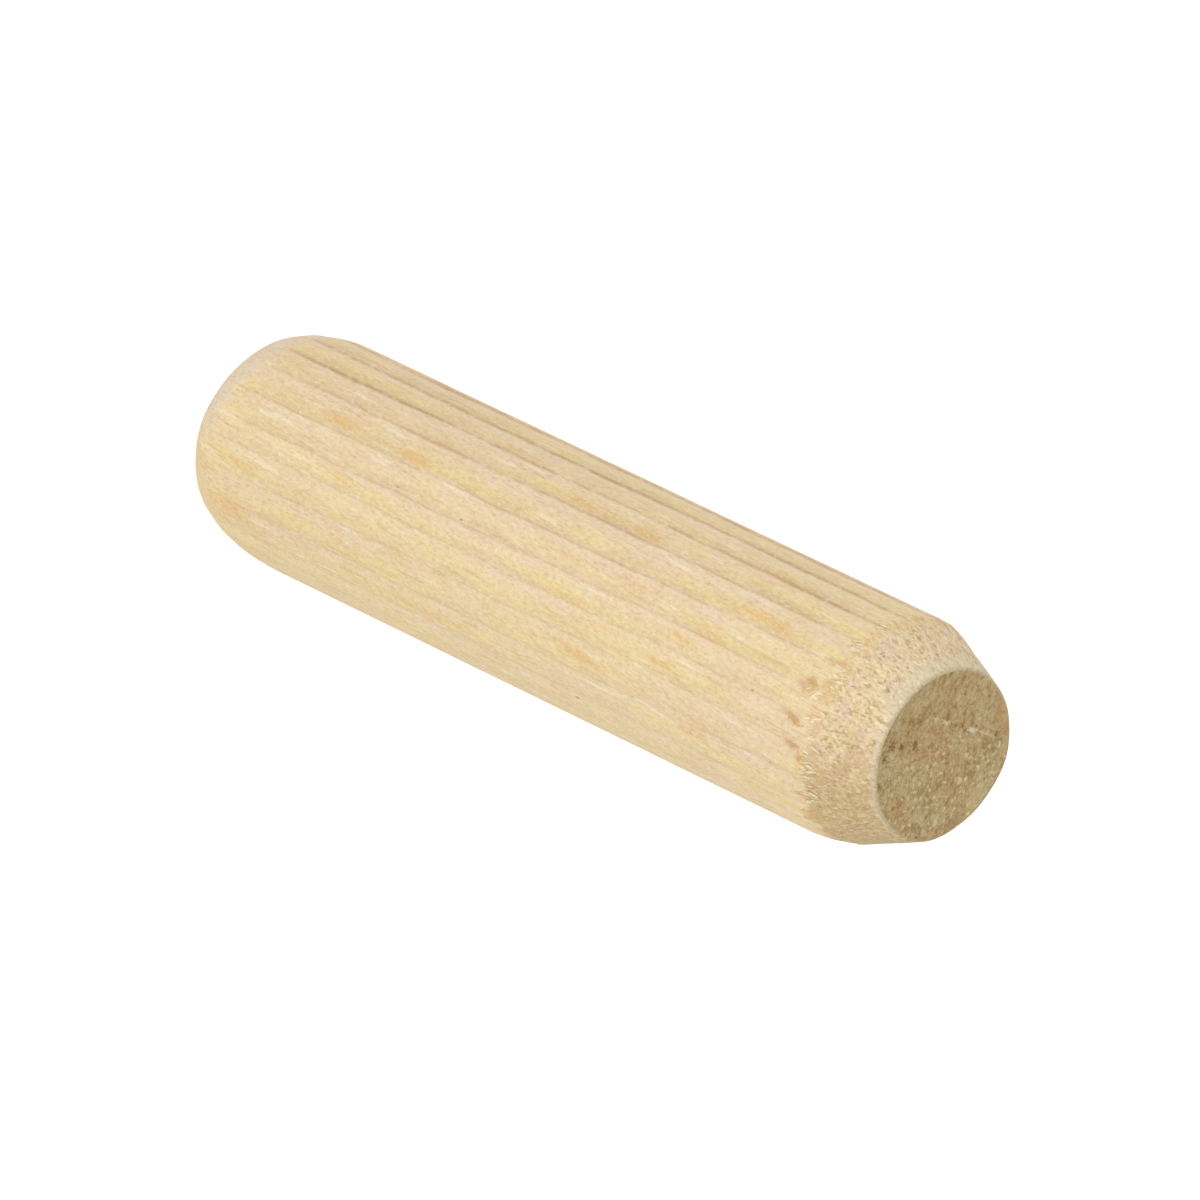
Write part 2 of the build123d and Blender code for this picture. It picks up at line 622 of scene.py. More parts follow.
# Kinds of socket that the groups have
FLOAT = "NodeSocketFloat"
VECTOR = "NodeSocketVector"
COLOUR = "NodeSocketColor"

# %% [markdown]
# ## Fibres
#
# Wood is a bundle of fibres. Cut along them, it shows fine pale and dark strokes. The same bundle shows in
# every finish of this pin, so it is a node group: each material places it with its own fineness and
# stretch. It puts out a value around a half for colour and a height for the bump.

# %% Node group: fibres
fibres_group, inside, outside = new_group(
    "fibres",
    {"Position": (VECTOR, None), "Across": (FLOAT, 6.0), "Along": (FLOAT, 0.3)},
    {"Tone": FLOAT, "Height": FLOAT},
)
tree = fibres_group
broad = grained_noise(tree, inside["Position"], inside["Across"], inside["Along"], detail=3.0, roughness=0.6)
fine_across = maths(tree, "MULTIPLY", inside["Across"], 2.7)
fine_along = maths(tree, "MULTIPLY", inside["Along"], 3.1)
fine = grained_noise(tree, inside["Position"], fine_across, fine_along, detail=2.0, roughness=0.6)
tone = maths(tree, "ADD", maths(tree, "MULTIPLY", broad, 0.6), maths(tree, "MULTIPLY", fine, 0.4))
tree.links.new(tone, outside["Tone"])
tree.links.new(fine, outside["Height"])
print("group fibres:", len(tree.nodes), "nodes")

# %% [markdown]
# ## Specks
#
# Pores, torn pits and bright fibre ends are all specks: small places where a noise is above a level. The
# group puts out a mask, and its level says how many specks there are.

# %% Node group: specks
specks_group, inside, outside = new_group(
    "specks",
    {
        "Position": (VECTOR, None),
        "Across": (FLOAT, 6.0),
        "Along": (FLOAT, 2.0),
        "Level": (FLOAT, 0.6),
        "Softness": (FLOAT, 0.06),
    },
    {"Mask": FLOAT},
)
tree = specks_group
bumps = grained_noise(tree, inside["Position"], inside["Across"], inside["Along"], detail=1.5)
top = maths(tree, "ADD", inside["Level"], inside["Softness"])
tree.links.new(ramp(tree, bumps, inside["Level"], top), outside["Mask"])
print("group specks:", len(tree.nodes), "nodes")

# %% [markdown]
# ## Tone drift
#
# Over a few millimetres the wood drifts between two tones, such as yellow cream and rosy cream. The drift
# is long along the fibres and narrow across them.

# %% Node group: tone drift
drift_group, inside, outside = new_group(
    "tone_drift",
    {
        "Position": (VECTOR, None),
        "Across": (FLOAT, 0.9),
        "Along": (FLOAT, 0.12),
        "First tone": (COLOUR, None),
        "Second tone": (COLOUR, None),
    },
    {"Colour": COLOUR, "Mask": FLOAT},
)
tree = drift_group
drift_noise = grained_noise(tree, inside["Position"], inside["Across"], inside["Along"])
drift = ramp(tree, drift_noise, 0.36, 0.64)
tree.links.new(blend_colour(tree, drift, inside["First tone"], inside["Second tone"]), outside["Colour"])
tree.links.new(drift, outside["Mask"])
print("group tone_drift:", len(tree.nodes), "nodes")

# %% [markdown]
# ## Single marks
#
# A few marks are too sharp for the mesh's points: the bruises along the head's shoulder, some dark specks,
# a scratch, and the pale ray and the pores of the head's face. Each is an oval in space with a middle, a
# direction, a length and a width. The group measures how far a point is from it, and noise frays its edge.

# %% Node group: single mark
oval_group, inside, outside = new_group(
    "oval_mark",
    {
        "Position": (VECTOR, None),
        "Middle": (VECTOR, None),
        "Direction": (VECTOR, None),
        "Half length": (FLOAT, 0.3),
        "Half width": (FLOAT, 0.05),
        "Fraying": (FLOAT, 0.5),
    },
    {"Mask": FLOAT},
)
tree = oval_group
offset = place(tree, "ShaderNodeVectorMath", operation="SUBTRACT")
tree.links.new(inside["Position"], offset.inputs[0])
tree.links.new(inside["Middle"], offset.inputs[1])
along = place(tree, "ShaderNodeVectorMath", operation="DOT_PRODUCT")
tree.links.new(offset.outputs[0], along.inputs[0])
tree.links.new(inside["Direction"], along.inputs[1])
length = place(tree, "ShaderNodeVectorMath", operation="LENGTH")
tree.links.new(offset.outputs[0], length.inputs[0])
along_squared = maths(tree, "POWER", maths(tree, "ABSOLUTE", along.outputs["Value"]), 2.0)
whole_squared = maths(tree, "POWER", length.outputs["Value"], 2.0)
across_squared = maths(tree, "MAXIMUM", maths(tree, "SUBTRACT", whole_squared, along_squared), 0.0)
in_lengths = maths(tree, "DIVIDE", along_squared, maths(tree, "POWER", inside["Half length"], 2.0))
in_widths = maths(tree, "DIVIDE", across_squared, maths(tree, "POWER", inside["Half width"], 2.0))
distance = maths(tree, "SQRT", maths(tree, "ADD", in_lengths, in_widths))
fray_noise = maths(tree, "SUBTRACT", grained_noise(tree, inside["Position"], across=9.0, along=6.0), 0.5)
fray_reach = maths(tree, "MULTIPLY", inside["Fraying"], 4.0)
distance = maths(tree, "ADD", distance, maths(tree, "MULTIPLY", fray_noise, fray_reach))
tree.links.new(ramp(tree, distance, 1.0, 0.45), outside["Mask"])
print("group oval_mark:", len(tree.nodes), "nodes")

# %% [markdown]
# ## Grain space
#
# The fibres of this pin lean 4 degrees from its axis, towards +X. Each material turns the object's own
# coordinates to suit and counts them in millimetres, so that Z runs along the fibres. Textures made there
# cut through the pin like real grain.

# %% Helpers for materials
FIBRE_LEAN = math.radians(4.0)


def new_material(name):
    """Returns a bare material, its tree and shader, and places in mm: as they are, and in grain space."""
    material = bpy.data.materials.new(name)
    material.use_nodes = True
    tree = material.node_tree
    tree.nodes.clear()
    shader = place(tree, "ShaderNodeBsdfPrincipled")
    output = place(tree, "ShaderNodeOutputMaterial")
    tree.links.new(shader.outputs[0], output.inputs["Surface"])
    coordinates = place(tree, "ShaderNodeTexCoord")
    in_mm = place(tree, "ShaderNodeMapping")
    in_mm.inputs["Scale"].default_value = (1 / MM, 1 / MM, 1 / MM)
    tree.links.new(coordinates.outputs["Object"], in_mm.inputs["Vector"])
    grain = place(tree, "ShaderNodeMapping")
    grain.inputs["Rotation"].default_value = (0, -FIBRE_LEAN, 0)
    tree.links.new(in_mm.outputs[0], grain.inputs["Vector"])
    return material, tree, shader, in_mm.outputs[0], grain.outputs[0]


def stain(tree, colour, mask, strength, stain_colour):
    """The colour with another one laid over it where the mask is, at a strength from 0 to 1."""
    return blend_colour(tree, maths(tree, "MULTIPLY", mask, strength, clamp=True), colour, stain_colour)


def frayed(tree, mask, noise_value, amount, low, high):
    """A mask with its soft edge broken up by so much of a noise around a half."""
    shift = maths(tree, "MULTIPLY", maths(tree, "SUBTRACT", noise_value, 0.5), amount)
    return ramp(tree, maths(tree, "ADD", mask, shift), low, high)


def oval(tree, position, middle, towards, half_length, half_width, fraying=0.5):
    """One single mark, placed by the middle of its oval and a direction."""
    return use_group(
        tree,
        oval_group,
        Position=position,
        Middle=tuple(middle),
        Direction=tuple(Vector(towards).normalized()),
        Half_length=half_length,
        Half_width=half_width,
        Fraying=fraying,
    )["Mask"]


def fibre_tone(tree, grain, **stretch):
    """The tone of the fibres group in grain space, around a half."""
    return use_group(tree, fibres_group, Position=grain, **stretch)["Tone"]


def speck_mask(tree, grain, **settings):
    """The mask of the specks group in grain space."""
    return use_group(tree, specks_group, Position=grain, **settings)["Mask"]


def on_side(turn, height):
    """A place on the shank, in mm, by degrees round from the front and height."""
    return direction(turn + CAMERA_AZIMUTH, 0) * PIN_RADIUS + Vector((0, 0, height))


def bump(tree, shader, height, distance, strength):
    """Feeds a height in, so that light catches relief too fine for the mesh."""
    made = place(tree, "ShaderNodeBump")
    made.inputs["Distance"].default_value = distance * MM
    made.inputs["Strength"].default_value = strength
    feed(tree, made.inputs["Height"], height)
    tree.links.new(made.outputs[0], shader.inputs["Normal"])


# %% [markdown]
# ## Side of the pin
#
# Along the shank the wood is cut along its fibres: yellow cream, drifting to rosy cream, with fine strokes
# and amber streaks. Each rib is rosy just below a flute and yellow further down. A thin brown line marks the
# flute's lip; it is partly crushed fibre and partly painted shade in the groove. The lower part of each rib
# gets a painted soft shade where it turns away from the light, and the band just below each lip gets a
# painted highlight. Over the head's chamfer the cutter crossed the fibres. Where it tore them, the wood is
# pale and full of small pits and loose ends, and on the other side it is smoother and tan. Shank and
# chamfer are one surface with a ragged border, so they are one material, mixed by a mark.

# %% Material: side, shank part
side_wood, tree, shader, in_mm, grain = new_material("birch_side")
tone = use_group(
    tree, drift_group, Position=grain, Across=0.9, Along=0.1,
    First_tone=srgb(237, 215, 155), Second_tone=srgb(234, 209, 168),
)["Colour"]
soft_noise = fibre_tone(tree, grain, Across=1.8, Along=0.45)
rosy = frayed(tree, mark(tree, "rib_side"), soft_noise, -2.4, 0.9, 0.15)
rosy = maths(tree, "MULTIPLY", rosy, ramp(tree, mark(tree, "pressed"), -0.5, 0.9))
colour = stain(tree, tone, rosy, 0.75, srgb(235, 210, 180))
strokes = use_group(tree, fibres_group, Position=grain, Across=5.0, Along=0.5)
colour = stain(tree, colour, ramp(tree, strokes["Tone"], 0.5, 0.35), 0.42, srgb(216, 188, 140))
colour = stain(tree, colour, ramp(tree, strokes["Tone"], 0.5, 0.65), 0.4, srgb(243, 226, 185))
threads = speck_mask(tree, grain, Across=4.0, Along=0.34, Level=0.63, Softness=0.09)
colour = stain(tree, colour, threads, 0.6, srgb(250, 236, 210))
hairs = speck_mask(tree, grain, Across=5.2, Along=0.26, Level=0.62, Softness=0.12)
colour = stain(tree, colour, hairs, 0.32, srgb(196, 158, 106))
amber = frayed(tree, mark(tree, "amber"), soft_noise, 1.6, -0.05, 0.85)
colour = stain(tree, colour, amber, 0.9, srgb(231, 192, 132))
streaks = speck_mask(tree, grain, Across=1.5, Along=0.36, Level=0.56, Softness=0.16)
colour = stain(tree, colour, streaks, 0.34, srgb(230, 188, 124))
long_breaks = fibre_tone(tree, grain, Across=1.3, Along=0.4)
breaks = fibre_tone(tree, grain, Across=3.6, Along=1.4)
# Painted highlight on the band just below each lip, where the rib turns towards the light
pale = maths(tree, "MULTIPLY", mark(tree, "painted_highlight_band"), ramp(tree, soft_noise, 0.36, 0.54))
colour = stain(tree, colour, pale, 0.6, srgb(238, 217, 190))
# Painted soft shade on the lower part of each rib, where it turns away from the light
shade = maths(tree, "MULTIPLY", mark(tree, "lip_shade"), ramp(tree, long_breaks, 0.25, 0.56))
colour = stain(tree, colour, shade, 0.46, srgb(200, 172, 122))
# The dark line at each lip: partly crushed fibre, partly painted shade in the groove
line = maths(tree, "MULTIPLY", mark(tree, "lip_line_crush_and_shade"), ramp(tree, long_breaks, 0.28, 0.52))
colour = stain(tree, colour, line, 0.7, srgb(180, 145, 104))
dents = frayed(tree, mark(tree, "dent"), breaks, 2.6, 0.1, 0.95)
colour = stain(tree, colour, dents, 0.72, srgb(204, 160, 102))
shank_colour = colour
print("birch_side, shank:", len(tree.nodes), "nodes")

# %% Material: side, chamfer part
torn_mark = mark(tree, "torn")
smooth_tone = use_group(
    tree, drift_group, Position=grain, Across=1.4, Along=0.9,
    First_tone=srgb(211, 189, 136), Second_tone=srgb(206, 171, 126),
)["Colour"]
smooth_tone = stain(tree, smooth_tone, mark(tree, "worn"), 0.6, srgb(198, 172, 122))
rough_tone = use_group(
    tree, drift_group, Position=grain, Across=1.5, Along=0.9,
    First_tone=srgb(229, 206, 159), Second_tone=srgb(225, 198, 168),
)["Colour"]
colour = blend_colour(tree, torn_mark, smooth_tone, rough_tone)
crumbs = use_group(tree, fibres_group, Position=grain, Across=4.2, Along=1.8)
dark_crumbs = ramp(tree, crumbs["Tone"], 0.5, 0.34)
pale_crumbs = ramp(tree, crumbs["Tone"], 0.5, 0.66)
colour = stain(tree, colour, dark_crumbs, 0.74, srgb(178, 148, 102))
pale_strength = maths(tree, "ADD", maths(tree, "MULTIPLY", torn_mark, 0.26), 0.38)
colour = stain(tree, colour, maths(tree, "MULTIPLY", pale_crumbs, pale_strength), 1.0, srgb(240, 223, 190))
small_pits = speck_mask(tree, grain, Across=6.5, Along=3.2, Level=0.58, Softness=0.12)
colour = stain(tree, colour, small_pits, 0.6, srgb(172, 136, 88))
torn_pits = speck_mask(tree, grain, Across=3.2, Along=1.7, Level=0.64, Softness=0.07)
colour = stain(tree, colour, maths(tree, "MULTIPLY", torn_pits, torn_mark), 0.6, srgb(158, 122, 74))
loose_ends = speck_mask(tree, grain, Across=6.5, Along=2.6, Level=0.6, Softness=0.1)
loose_strength = maths(tree, "ADD", maths(tree, "MULTIPLY", torn_mark, 0.85), 0.12)
loose_ends = maths(tree, "MULTIPLY", loose_ends, loose_strength)
colour = stain(tree, colour, loose_ends, 0.6, srgb(250, 238, 210))
# Pale rim by the head's face; where it is narrow along the edge it is a painted highlight
rim = frayed(tree, mark(tree, "rim"), crumbs["Tone"], 1.8, 0.2, 1.0)
colour = stain(tree, colour, rim, 0.5, srgb(217, 206, 176))
edge = frayed(tree, mark(tree, "edge"), crumbs["Tone"], 2.5, 0.2, 0.9)
colour = stain(tree, colour, edge, 0.35, srgb(208, 184, 138))
chamfer_colour = stain(tree, colour, dents, 0.6, srgb(205, 162, 106))
print("birch_side, shank and chamfer:", len(tree.nodes), "nodes")

# %% Material: side, border and surface
border_shift = maths(tree, "MULTIPLY", maths(tree, "SUBTRACT", breaks, 0.5), 1.5)
border = maths(tree, "ADD", mark(tree, "head_cut"), border_shift)
border_end = maths(tree, "ADD", maths(tree, "MULTIPLY", torn_mark, 0.22), 0.72)
head_cut = ramp(tree, border, 0.5, border_end)
bruised = maths(tree, "MULTIPLY", ramp(tree, border, 0.2, 0.5), ramp(tree, border, 0.9, 0.6))
bruised = maths(tree, "MULTIPLY", bruised, ramp(tree, soft_noise, 0.42, 0.6))
foot_cut = frayed(tree, mark(tree, "foot_cut"), breaks, 1.5, 0.4, 0.75)
colour = stain(tree, shank_colour, foot_cut, 0.4, srgb(231, 211, 178))
strip = frayed(tree, mark(tree, "strip"), breaks, 1.4, -0.1, 0.75)
colour = stain(tree, colour, strip, 0.75, srgb(227, 210, 190))
colour = blend_colour(tree, head_cut, colour, chamfer_colour)
colour = stain(tree, colour, bruised, 0.68, srgb(213, 171, 112))
fuzz = fibre_tone(tree, grain, Across=8.5, Along=3.6)
fuzz_strength = maths(tree, "ADD", maths(tree, "MULTIPLY", head_cut, 0.06), 0.4)
dark_fuzz = maths(tree, "MULTIPLY", ramp(tree, fuzz, 0.5, 0.34), fuzz_strength)
pale_fuzz = maths(tree, "MULTIPLY", ramp(tree, fuzz, 0.5, 0.66), fuzz_strength)
colour = blend_colour(tree, dark_fuzz, colour, srgb(190, 162, 112))
colour = blend_colour(tree, pale_fuzz, colour, srgb(251, 238, 208))
# Bruises: degrees round from the front; height, half length and half width in mm; strength
for turn, height, half_length, half_width, strength in (
    (14.2, 36.2, 0.62, 0.19, 0.7),
    (-5.5, 36.35, 0.42, 0.2, 0.55),
    (25.5, 36.45, 0.45, 0.15, 0.55),
    (31.0, 36.95, 0.3, 0.2, 0.5),
    (50.5, 36.85, 0.4, 0.15, 0.55),
):
    bruise = oval(tree, in_mm, on_side(turn, height), (0.15, 0, 1), half_length, half_width, 0.5)
    colour = stain(tree, colour, bruise, strength, srgb(200, 156, 98))
# Dark specks and a scratch: degrees round from the front; height, half length and half width in mm
for turn, height, half_length, half_width in (
    (58.4, 23.5, 0.16, 0.09),
    (12.0, 33.5, 0.42, 0.035),
    (10.3, 33.65, 0.12, 0.05),
    (-3.5, 11.9, 0.3, 0.04),
    (-2.5, 15.8, 0.1, 0.06),
    (40.0, 35.2, 0.1, 0.05),
):
    speck = oval(tree, in_mm, on_side(turn, height), (0.1, 0, 1), half_length, half_width, 0.25)
    colour = stain(tree, colour, speck, 0.6, srgb(112, 88, 52))
tree.links.new(colour, shader.inputs["Base Color"])
roughness = maths(tree, "ADD", maths(tree, "MULTIPLY", strokes["Tone"], 0.3), 0.5)
tree.links.new(roughness, shader.inputs["Roughness"])
shader.inputs["Specular IOR Level"].default_value = 0.25
relief_height = place(tree, "ShaderNodeMix", data_type="FLOAT")
feed(tree, relief_height.inputs["Factor"], head_cut)
feed(tree, relief_height.inputs["A"], strokes["Height"])
feed(tree, relief_height.inputs["B"], crumbs["Tone"])
bump(tree, shader, relief_height.outputs["Result"], distance=0.05, strength=0.5)
print("birch_side:", len(tree.nodes), "nodes")

# %% [markdown]
# ## Ends: fibres cut square across
#
# End grain drinks light, so it is the darkest wood on the pin: olive tan, mottled with darker pores and
# pale fibre ends. A pale ray of the wood crosses the head's face, with a few dark pores beside it, and its
# rim turns brown, pale and orange in places.

# %% Material: end grain
end_wood, tree, shader, in_mm, grain = new_material("birch_end_grain")
tone = use_group(
    tree, drift_group, Position=grain, Across=0.5, Along=0.3,
    First_tone=srgb(216, 194, 146), Second_tone=srgb(216, 180, 130),
)["Colour"]
across_face = place(tree, "ShaderNodeVectorMath", operation="DOT_PRODUCT")
feed(tree, across_face.inputs[0], in_mm)
feed(tree, across_face.inputs[1], (0.75, 0.66, 0))
dusty_side = ramp(tree, across_face.outputs["Value"], -2.6, 1.2)
patches = fibre_tone(tree, grain, Across=1.1, Along=1.0)
colour = stain(tree, tone, ramp(tree, patches, 0.52, 0.38), 0.6, srgb(171, 137, 80))
mottle = use_group(tree, fibres_group, Position=grain, Across=3.0, Along=3.0)
colour = stain(tree, colour, ramp(tree, mottle["Tone"], 0.5, 0.34), 0.55, srgb(151, 118, 57))
colour = stain(tree, colour, ramp(tree, mottle["Tone"], 0.52, 0.68), 0.45, srgb(236, 214, 160))
fibre_ends = speck_mask(tree, grain, Across=4.4, Along=4.4, Level=0.57, Softness=0.1)
dust_strength = maths(tree, "ADD", maths(tree, "MULTIPLY", dusty_side, 0.72), 0.08)
dust = maths(tree, "MULTIPLY", fibre_ends, dust_strength)
colour = stain(tree, colour, dust, 1.0, srgb(250, 232, 186))
pores = speck_mask(tree, grain, Across=4.0, Along=4.0, Level=0.6, Softness=0.1)
colour = stain(tree, colour, pores, 0.55, srgb(127, 94, 38))
grit = fibre_tone(tree, grain, Across=8.0, Along=8.0)
colour = stain(tree, colour, ramp(tree, grit, 0.5, 0.36), 0.46, srgb(150, 120, 60))
colour = stain(tree, colour, ramp(tree, grit, 0.5, 0.64), 0.46, srgb(240, 220, 168))
# The pale ray, in four pieces: place on the face, half length and half width in mm; strength
for x, y, half_length, half_width, strength in (
    (-1.2, -1.45, 0.34, 0.06, 0.55),
    (-1.26, -0.8, 0.36, 0.09, 0.9),
    (-1.5, 0.8, 0.4, 0.13, 0.95),
    (-1.62, 1.6, 0.5, 0.06, 0.7),
):
    ray = oval(tree, in_mm, (x, y, PIN_LENGTH), (-0.12, 1, 0), half_length, half_width, 0.75)
    colour = stain(tree, colour, ray, strength, srgb(246, 230, 192))
# Single pores: place on the face and half width in mm
for x, y, size in (
    (-1.37, -0.21, 0.07),
    (-1.44, 0.15, 0.07),
    (-1.7, 0.94, 0.06),
    (-1.85, 2.18, 0.12),
    (0.53, -3.08, 0.2),
    (0.14, -1.83, 0.19),
    (0.4, -2.6, 0.12),
    (1.2, -3.1, 0.14),
):
    pore = oval(tree, in_mm, (x, y, PIN_LENGTH), (1, 0.4, 0), size * 1.4, size, 0.7)
    colour = stain(tree, colour, pore, 0.6, srgb(118, 82, 36))
brown_rim = oval(tree, in_mm, (2.1, 2.2, PIN_LENGTH), (0.72, -0.7, 0), 0.9, 0.35, 0.5)
colour = stain(tree, colour, brown_rim, 0.5, srgb(176, 132, 82))
pale_rim = oval(tree, in_mm, (0.75, 2.8, PIN_LENGTH), (0.97, -0.25, 0), 1.3, 0.5, 0.6)
colour = stain(tree, colour, pale_rim, 0.4, srgb(230, 208, 160))
orange_rim = oval(tree, in_mm, (-2.55, 1.9, PIN_LENGTH), (0.6, 0.8, 0), 1.5, 0.45, 0.5)
colour = stain(tree, colour, orange_rim, 0.5, srgb(214, 174, 120))
tree.links.new(colour, shader.inputs["Base Color"])
shader.inputs["Roughness"].default_value = 0.85
shader.inputs["Specular IOR Level"].default_value = 0.15
bump(tree, shader, mottle["Height"], distance=0.05, strength=0.5)
print("birch_end_grain:", len(tree.nodes), "nodes")

# %% [markdown]
# ## Lifted fibres
#
# Where a flute runs out at the head's shoulder, the cutter caught bundles of fibres and broke them off.
# They stand out as small pale splinters, in tufts. Each splinter is a thin curved spike with four sides,
# rooted in the wood. It starts along the grain and then bends away from it.

# %% Build the splinters
# Each tuft: degrees round from the front, height in mm, number of splinters, spread in mm, lean in degrees
TUFTS = [
    (-27.5, 36.7, 10, 0.25, -20),
    (-12.0, 36.9, 7, 0.3, -10),
    (-3.0, 36.55, 8, 0.2, -25),
    (1.5, 36.55, 12, 0.2, -30),
    (10.0, 36.7, 7, 0.25, -25),
    (17.0, 36.6, 7, 0.2, 10),
    (24.5, 36.9, 6, 0.25, 15),
    (29.0, 36.75, 5, 0.3, 0),
    (33.0, 37.1, 4, 0.3, -10),
    (41.0, 37.0, 3, 0.35, 10),
    (48.0, 37.0, 5, 0.25, 10),
    (52.0, 37.1, 4, 0.3, 0),
    (-45.0, 36.9, 6, 0.3, -10),
    (110.0, 36.7, 8, 0.3, 10),
    (165.0, 36.6, 9, 0.3, -10),
    (-120.0, 36.7, 9, 0.3, 0),
]
SPIKE_STEPS = 6
# How deep a splinter is rooted, how far it clears the skin, and how far it stays inside the ribs' cylinder
ROOT_DEPTH = 0.03
CLEARANCE = 0.01
INSIDE_RIBS = 0.03
# How fast a splinter sinks towards the axis as it rises, which keeps it near the chamfer
SINKING = 0.22
BLUNT_TIP = 0.002
spike_points = []
spike_faces = []
spike_tips = []


def outer_radius(turn, height):
    """Radius of the pin's skin near a place, from the grid."""
    ring = int(np.argmin(np.abs(ring_heights - height)))
    apart = np.abs(np.angle(np.exp(1j * (angles[ring] - turn))))
    return float(radii[ring, int(np.argmin(apart))])


def add_spike(turn, height, length, width, lean):
    """One four-sided splinter that starts just under the skin and rises off it a little."""
    start = len(spike_points)
    radius = outer_radius(turn, height) - ROOT_DEPTH
    for step in range(SPIKE_STEPS + 1):
        share = step / SPIKE_STEPS
        sideways = math.sin(lean) * length * share ** 1.4
        upwards = math.cos(lean) * length * share
        here_turn = turn + sideways / PIN_RADIUS
        here_height = height + upwards
        here_radius = max(outer_radius(here_turn, here_height) + CLEARANCE, radius - SINKING * upwards)
        half = width * (1 - share) ** 0.4 + BLUNT_TIP
        here_radius = min(here_radius, PIN_RADIUS - INSIDE_RIBS - half * 0.5)
        out = Vector((math.cos(here_turn), math.sin(here_turn), 0))
        side = Vector((-math.sin(here_turn), math.cos(here_turn), 0))
        middle = out * here_radius + Vector((0, 0, here_height))
        for corner in (side * half, out * half * 0.5, -side * half, -out * half * 0.5):
            spike_points.append(middle + corner)
            spike_tips.append(share)
    for step in range(SPIKE_STEPS):
        low = start + 4 * step
        for corner in range(4):
            beside = (corner + 1) % 4
            spike_faces.append((low + corner, low + beside, low + 4 + beside, low + 4 + corner))
    spike_faces.append((start + 3, start + 2, start + 1, start))
    last = start + 4 * SPIKE_STEPS
    spike_faces.append((last, last + 1, last + 2, last + 3))


for turn, height, number, spread_mm, lean in TUFTS:
    for _ in range(number):
        spike_turn = FRONT + math.radians(turn) + seeds.normal(0, spread_mm) / PIN_RADIUS
        spike_height = height + seeds.normal(0, 0.18)
        spike_lean = math.radians(lean + seeds.normal(0, 14))
        spike_length = seeds.uniform(0.2, 0.6)
        spike_width = seeds.uniform(0.035, 0.1)
        add_spike(spike_turn, spike_height, spike_length, spike_width, spike_lean)
spike_mesh = bpy.data.meshes.new("lifted_fibres")
spike_mesh.from_pydata([point * MM for point in spike_points], [], spike_faces)
spike_mesh.attributes.new("tip", "FLOAT", "POINT").data.foreach_set("value", spike_tips)
spike_mesh.polygons.foreach_set("use_smooth", [True] * len(spike_faces))
lifted_fibres = bpy.data.objects.new("lifted_fibres", spike_mesh)
bpy.context.scene.collection.objects.link(lifted_fibres)
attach(lifted_fibres, "root")
print(f"lifted_fibres: {len(spike_points) // (4 * (SPIKE_STEPS + 1))} splinters")

# %% Material: splinters
splinter_wood, tree, shader, in_mm, grain = new_material("birch_splinter")
fibres = use_group(tree, fibres_group, Position=grain, Across=9.0, Along=1.5)
tip = ramp(tree, mark(tree, "tip"), 0.0, 0.5)
colour = blend_colour(tree, tip, srgb(230, 204, 154), srgb(246, 230, 194))
colour = stain(tree, colour, ramp(tree, fibres["Tone"], 0.5, 0.3), 0.5, srgb(206, 176, 128))
tree.links.new(colour, shader.inputs["Base Color"])
shader.inputs["Roughness"].default_value = 0.6
shader.inputs["Specular IOR Level"].default_value = 0.3
bump(tree, shader, fibres["Height"], distance=0.01, strength=0.4)
spike_mesh.materials.append(splinter_wood)
print("birch_splinter:", len(tree.nodes), "nodes")

# %% Dress the pin
for material in (side_wood, end_wood):
    pin_mesh.materials.append(material)
print("the pin wears", side_wood.name, "and", end_wood.name)

# %% [markdown]
# ## Floor and light
#
# The pin stands in a light tent: a white floor, a white surround and two large soft lamps, in front on the
# left and on the right. The surround is brighter in front than behind and lights everything softly, and the
# lamps add the little shading that shows the flutes; painted shade and highlights in the side material add
# to it. To the camera the surround is plain white, and the floor gets a small glow of its own, which lifts
# it to white but leaves the pin's shadow on it.

# %% Floor
# Half of the floor's width in metres, and how strongly it glows to the camera
FLOOR_HALF = 2.0
FLOOR_GLOW = 0.62
floor_mesh = bpy.data.meshes.new("floor")
floor_corners = [
    (-FLOOR_HALF, -FLOOR_HALF, 0),
    (FLOOR_HALF, -FLOOR_HALF, 0),
    (FLOOR_HALF, FLOOR_HALF, 0),
    (-FLOOR_HALF, FLOOR_HALF, 0),
]
floor_mesh.from_pydata(floor_corners, [], [(0, 1, 2, 3)])
floor = bpy.data.objects.new("floor", floor_mesh)
bpy.context.scene.collection.objects.link(floor)
paper = bpy.data.materials.new("white_paper")
paper.use_nodes = True
tree = paper.node_tree
tree.nodes.clear()
output = place(tree, "ShaderNodeOutputMaterial")
diffuse = place(tree, "ShaderNodeBsdfDiffuse")
diffuse.inputs["Color"].default_value = (0.85, 0.85, 0.85, 1)
glow = place(tree, "ShaderNodeEmission")
path = place(tree, "ShaderNodeLightPath")
seen = maths(tree, "MAXIMUM", path.outputs["Is Camera Ray"], path.outputs["Is Glossy Ray"])
seen = maths(tree, "MAXIMUM", seen, path.outputs["Is Transmission Ray"])
tree.links.new(maths(tree, "MULTIPLY", seen, FLOOR_GLOW), glow.inputs["Strength"])
both = place(tree, "ShaderNodeAddShader")
tree.links.new(diffuse.outputs[0], both.inputs[0])
tree.links.new(glow.outputs[0], both.inputs[1])
tree.links.new(both.outputs[0], output.inputs["Surface"])
floor_mesh.materials.append(paper)
print("floor:", 2 * FLOOR_HALF, "m wide")

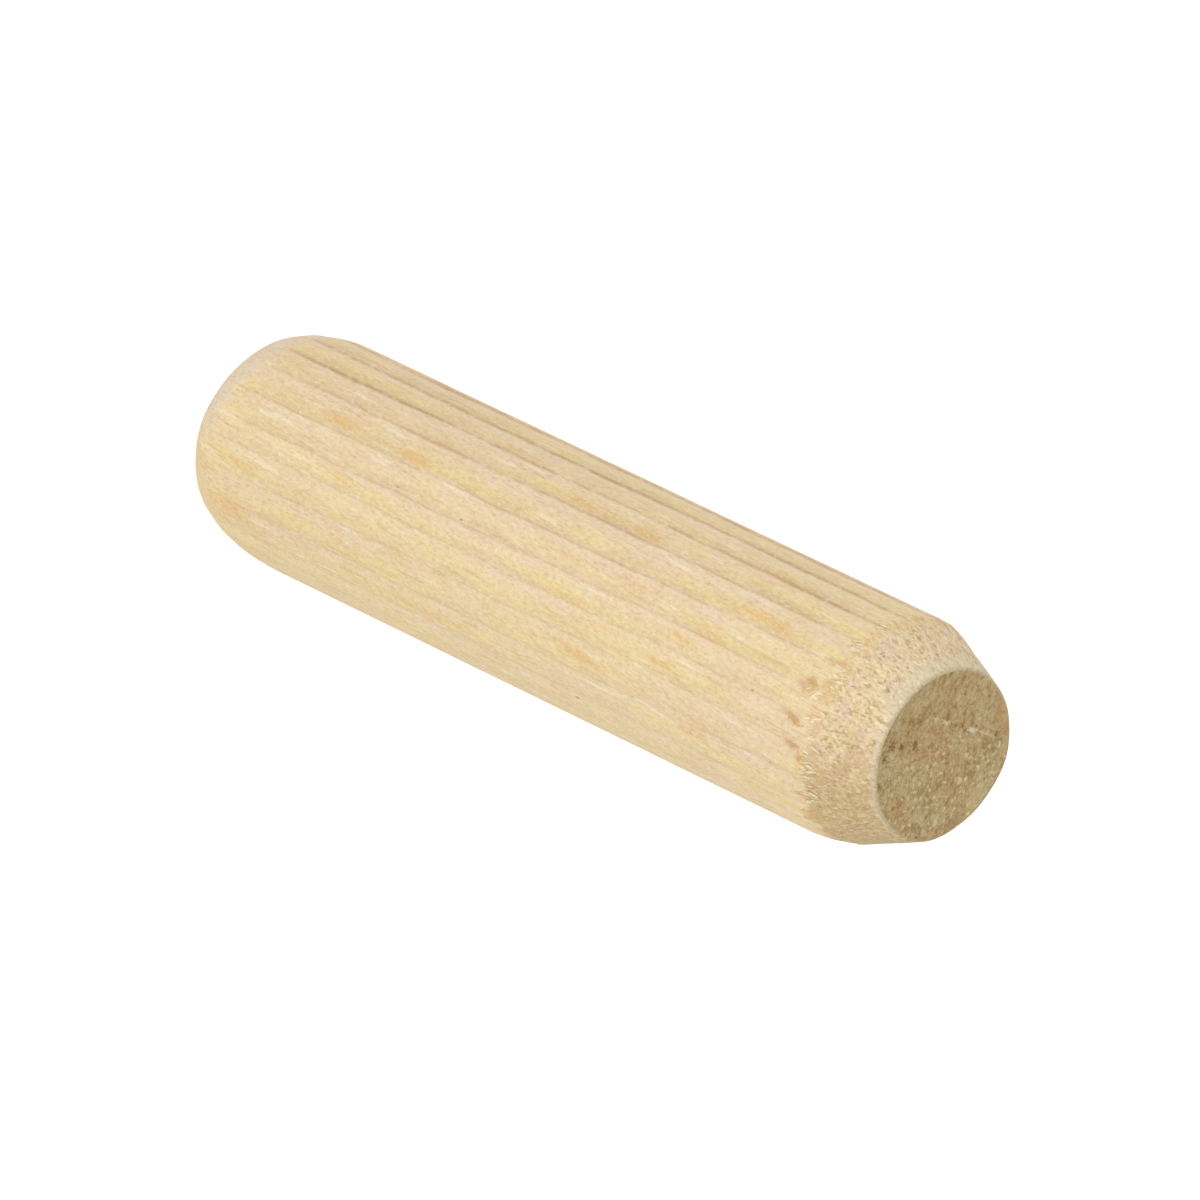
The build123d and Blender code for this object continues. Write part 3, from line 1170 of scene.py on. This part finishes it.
# %% Surround
# Its strength in front of the pin and behind it
SURROUND_FRONT = 0.91
SURROUND_BACK = 0.42
world = bpy.data.worlds.new("surround")
world.use_nodes = True
bpy.context.scene.world = world
tree = world.node_tree
tree.nodes.clear()
output = place(tree, "ShaderNodeOutputWorld")
background = place(tree, "ShaderNodeBackground")
path = place(tree, "ShaderNodeLightPath")
seen = maths(tree, "MAXIMUM", path.outputs["Is Camera Ray"], path.outputs["Is Glossy Ray"])
seen = maths(tree, "MAXIMUM", seen, path.outputs["Is Transmission Ray"])
sky = place(tree, "ShaderNodeTexCoord")
parts = place(tree, "ShaderNodeSeparateXYZ")
tree.links.new(sky.outputs["Generated"], parts.inputs[0])
from_behind = ramp(tree, parts.outputs["Y"], -0.9, 0.9)
light = place(tree, "ShaderNodeMix", data_type="FLOAT")
feed(tree, light.inputs["Factor"], from_behind)
feed(tree, light.inputs["A"], SURROUND_FRONT)
feed(tree, light.inputs["B"], SURROUND_BACK)
tree.links.new(maths(tree, "MAXIMUM", light.outputs["Result"], seen), background.inputs["Strength"])
tree.links.new(background.outputs[0], output.inputs["Surface"])
print("surround:", SURROUND_FRONT, "in front,", SURROUND_BACK, "behind")

# %% Lamps
def soft_lamp(name, azimuth, elevation, distance, size, watts):
    """A square lamp that faces the pin's middle from a direction; distance and size in metres."""
    lamp_data = bpy.data.lights.new(name, "AREA")
    lamp_data.shape = "SQUARE"
    lamp_data.size = size
    lamp_data.energy = watts
    lamp = bpy.data.objects.new(name, lamp_data)
    towards = direction(azimuth, elevation)
    lamp_place = Matrix.Translation(pin_middle * MM + towards * distance)
    lamp.matrix_world = lamp_place @ towards.to_track_quat("Z", "Y").to_matrix().to_4x4()
    lamp.visible_camera = False
    bpy.context.scene.collection.objects.link(lamp)
    print(f"{name}: {watts} W")


soft_lamp("left_lamp", azimuth=-56, elevation=8, distance=0.4, size=0.3, watts=0.73)
soft_lamp("right_lamp", azimuth=50, elevation=8, distance=0.4, size=0.3, watts=0.79)
view_settings = bpy.context.scene.view_settings
view_settings.view_transform = "Standard"
